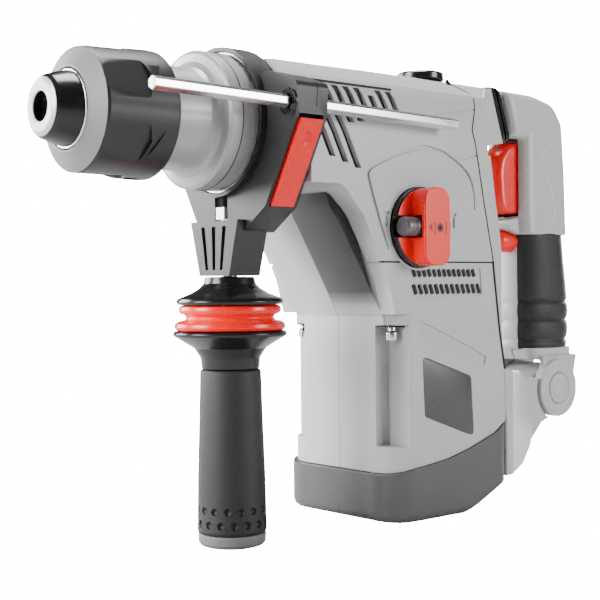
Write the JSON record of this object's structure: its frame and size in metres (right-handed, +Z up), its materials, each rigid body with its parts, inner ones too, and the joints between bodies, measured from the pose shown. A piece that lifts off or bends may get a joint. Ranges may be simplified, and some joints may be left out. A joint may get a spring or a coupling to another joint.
{
  "type": "rotary hammer",
  "caption": "Corded rotary hammer with a vertical motor, D-handle, slotted-shank tool holder, mode knob and a clamp-on side handle with a depth rod.",
  "frame": {"origin": "centre of the flat underside of the motor base", "axes": "+Z up through the motor axis, -X along the spindle towards the tool, +Y towards the operator's right"},
  "size_m": [0.377, 0.1085, 0.257],
  "materials": {
    "shell_plastic": "satin moulded plastic, fine grain",
    "dark_plastic": "satin moulded plastic",
    "black_plastic": "gloss moulded plastic",
    "red_plastic": "gloss moulded plastic",
    "soft_rubber": "matt overmoulded rubber",
    "cap_metal": "dark satin finish",
    "bright_steel": "ground steel",
    "gear_steel": "hardened steel, oiled",
    "cast_alloy": "cast, machined",
    "copper": "bare metal",
    "carbon": "pressed carbon"
  },
  "bodies": {
    "housing": {"upper_shell_left": "shell_plastic", "upper_shell_right": "shell_plastic", "motor_shell_left": "shell_plastic", "motor_shell_right": "shell_plastic", "base_cap": "dark_plastic", "rear_cover": "shell_plastic", "lower_arm": "shell_plastic", "nose_housing": "cast_alloy", "grease_cap": "black_plastic", "housing_screw_left": "bright_steel", "housing_screw_right": "bright_steel", "cable_gland": "black_plastic", "handle_bellows": "soft_rubber", "spindle_bearing": "bright_steel", "bearing_plate": "cast_alloy", "stator": "gear_steel", "upper_bearing": "bright_steel", "lower_bearing": "bright_steel", "brush_holder_front": "copper", "brush_holder_rear": "copper", "carbon_brush_front": "carbon", "carbon_brush_rear": "carbon", "pivot_pin": "bright_steel"},
    "spindle": {"spindle_tube": "gear_steel", "dust_cap": "black_plastic", "sleeve_spring": "bright_steel", "lock_ball_left": "bright_steel", "lock_ball_right": "bright_steel", "bevel_ring": "gear_steel"},
    "sleeve": {"locking_sleeve": "dark_plastic"},
    "striker": {"striker": "bright_steel"},
    "impact_bolt": {"impact_bolt": "bright_steel"},
    "piston": {"piston": "cast_alloy"},
    "con_rod": {"con_rod": "cast_alloy"},
    "armature": {"armature_shaft": "bright_steel", "armature_core": "gear_steel", "commutator": "copper", "fan": "black_plastic"},
    "crank": {"crank_gear": "gear_steel"},
    "intermediate": {"intermediate_gear": "gear_steel"},
    "side_handle": {"clamp_bracket": "dark_plastic", "clamp_band": "bright_steel", "clamp_bolt": "bright_steel"},
    "side_grip": {"upper_flange": "black_plastic", "damper_ring": "red_plastic", "grip_core": "black_plastic", "grip_sleeve": "soft_rubber", "grip_end_cap": "dark_plastic"},
    "depth_rod": {"depth_rod": "bright_steel"},
    "depth_lever": {"depth_lever": "red_plastic"},
    "knob": {"mode_knob": "red_plastic"},
    "knob_button": {"knob_button": "cap_metal"},
    "rear_handle": {"handle_left": "shell_plastic", "handle_right": "shell_plastic", "soft_grip": "soft_rubber", "switch_body": "black_plastic", "pivot_cap_left": "shell_plastic", "pivot_cap_right": "shell_plastic"},
    "trigger": {"trigger": "red_plastic"},
    "lock_button": {"lock_button": "red_plastic"}
  },
  "joints": [
    {"name": "armature_spin", "type": "hinge", "parent": "housing", "child": "armature", "pos_m": [-0.004, 0, 0.09], "axis": [0, 0, 1], "continuous": true},
    {"name": "crank_spin", "type": "hinge", "parent": "housing", "child": "crank", "pos_m": [0.014, 0, 0.17], "axis": [0, 0, 1], "continuous": true},
    {"name": "intermediate_spin", "type": "hinge", "parent": "housing", "child": "intermediate", "pos_m": [-0.035, 0, 0.17], "axis": [0, 0, 1], "continuous": true},
    {"name": "spindle_spin", "type": "hinge", "parent": "housing", "child": "spindle", "pos_m": [-0.13, 0, 0.211], "axis": [1, 0, 0], "continuous": true},
    {"name": "sleeve_slide", "type": "slide", "parent": "spindle", "child": "sleeve", "axis": [1, 0, 0], "range_m": [0, 0.0075], "stiffness_N_per_m": 1200, "springref_m": -0.004},
    {"name": "striker_slide", "type": "slide", "parent": "spindle", "child": "striker", "axis": [1, 0, 0], "range_m": [-0.003, 0.004]},
    {"name": "bolt_slide", "type": "slide", "parent": "spindle", "child": "impact_bolt", "axis": [1, 0, 0], "range_m": [-0.004, 0.001]},
    {"name": "piston_slide", "type": "slide", "parent": "housing", "child": "piston", "axis": [1, 0, 0], "range_m": [0, 0.016]},
    {"name": "con_rod_swing", "type": "hinge", "parent": "piston", "child": "con_rod", "pos_m": [-0.071, 0, 0.211], "axis": [0, 0, 1], "range_deg": [-6, 6]},
    {"name": "side_handle_swivel", "type": "hinge", "parent": "housing", "child": "side_handle", "pos_m": [-0.12, 0, 0.211], "axis": [1, 0, 0], "range_deg": [-180, 8]},
    {"name": "side_grip_turn", "type": "hinge", "parent": "side_handle", "child": "side_grip", "pos_m": [-0.12, 0, 0.1], "axis": [0, 0, 1], "continuous": true},
    {"name": "depth_rod_slide", "type": "slide", "parent": "side_handle", "child": "depth_rod", "axis": [0.9998, 0, -0.0192], "range_m": [-0.08, 0.06]},
    {"name": "depth_lever_press", "type": "hinge", "parent": "side_handle", "child": "depth_lever", "pos_m": [-0.115, -0.036, 0.168], "axis": [-1, 0, 0], "range_deg": [0, 3], "stiffness_Nm_per_rad": 0.6, "springref_deg": -2.86},
    {"name": "mode_knob_turn", "type": "hinge", "parent": "housing", "child": "knob", "pos_m": [-0.0286, -0.05, 0.158], "axis": [0, -1, 0], "range_deg": [0, 180]},
    {"name": "knob_button_press", "type": "slide", "parent": "knob", "child": "knob_button", "axis": [1, 0, 0], "range_m": [0, 0.0015], "stiffness_N_per_m": 400, "springref_m": -0.001},
    {"name": "rear_handle_rock", "type": "hinge", "parent": "housing", "child": "rear_handle", "pos_m": [0.123, 0, 0.0615], "axis": [0, 1, 0], "range_deg": [-1.2, 0.5], "stiffness_Nm_per_rad": 120},
    {"name": "trigger_pull", "type": "hinge", "parent": "rear_handle", "child": "trigger", "pos_m": [0.096, 0, 0.213], "axis": [0, -1, 0], "range_deg": [0, 7], "stiffness_Nm_per_rad": 0.8, "springref_deg": -5.73},
    {"name": "lock_button_press", "type": "slide", "parent": "rear_handle", "child": "lock_button", "axis": [1, 0, 0], "range_m": [0, 0.003], "stiffness_N_per_m": 400, "springref_m": -0.001}
  ],
  "couplings": [
    {"joint": "crank_spin", "follows": "armature_spin", "ratio": -0.28571},
    {"joint": "intermediate_spin", "follows": "armature_spin", "ratio": -0.14815},
    {"joint": "spindle_spin", "follows": "armature_spin", "ratio": 0.037037}
  ]
}
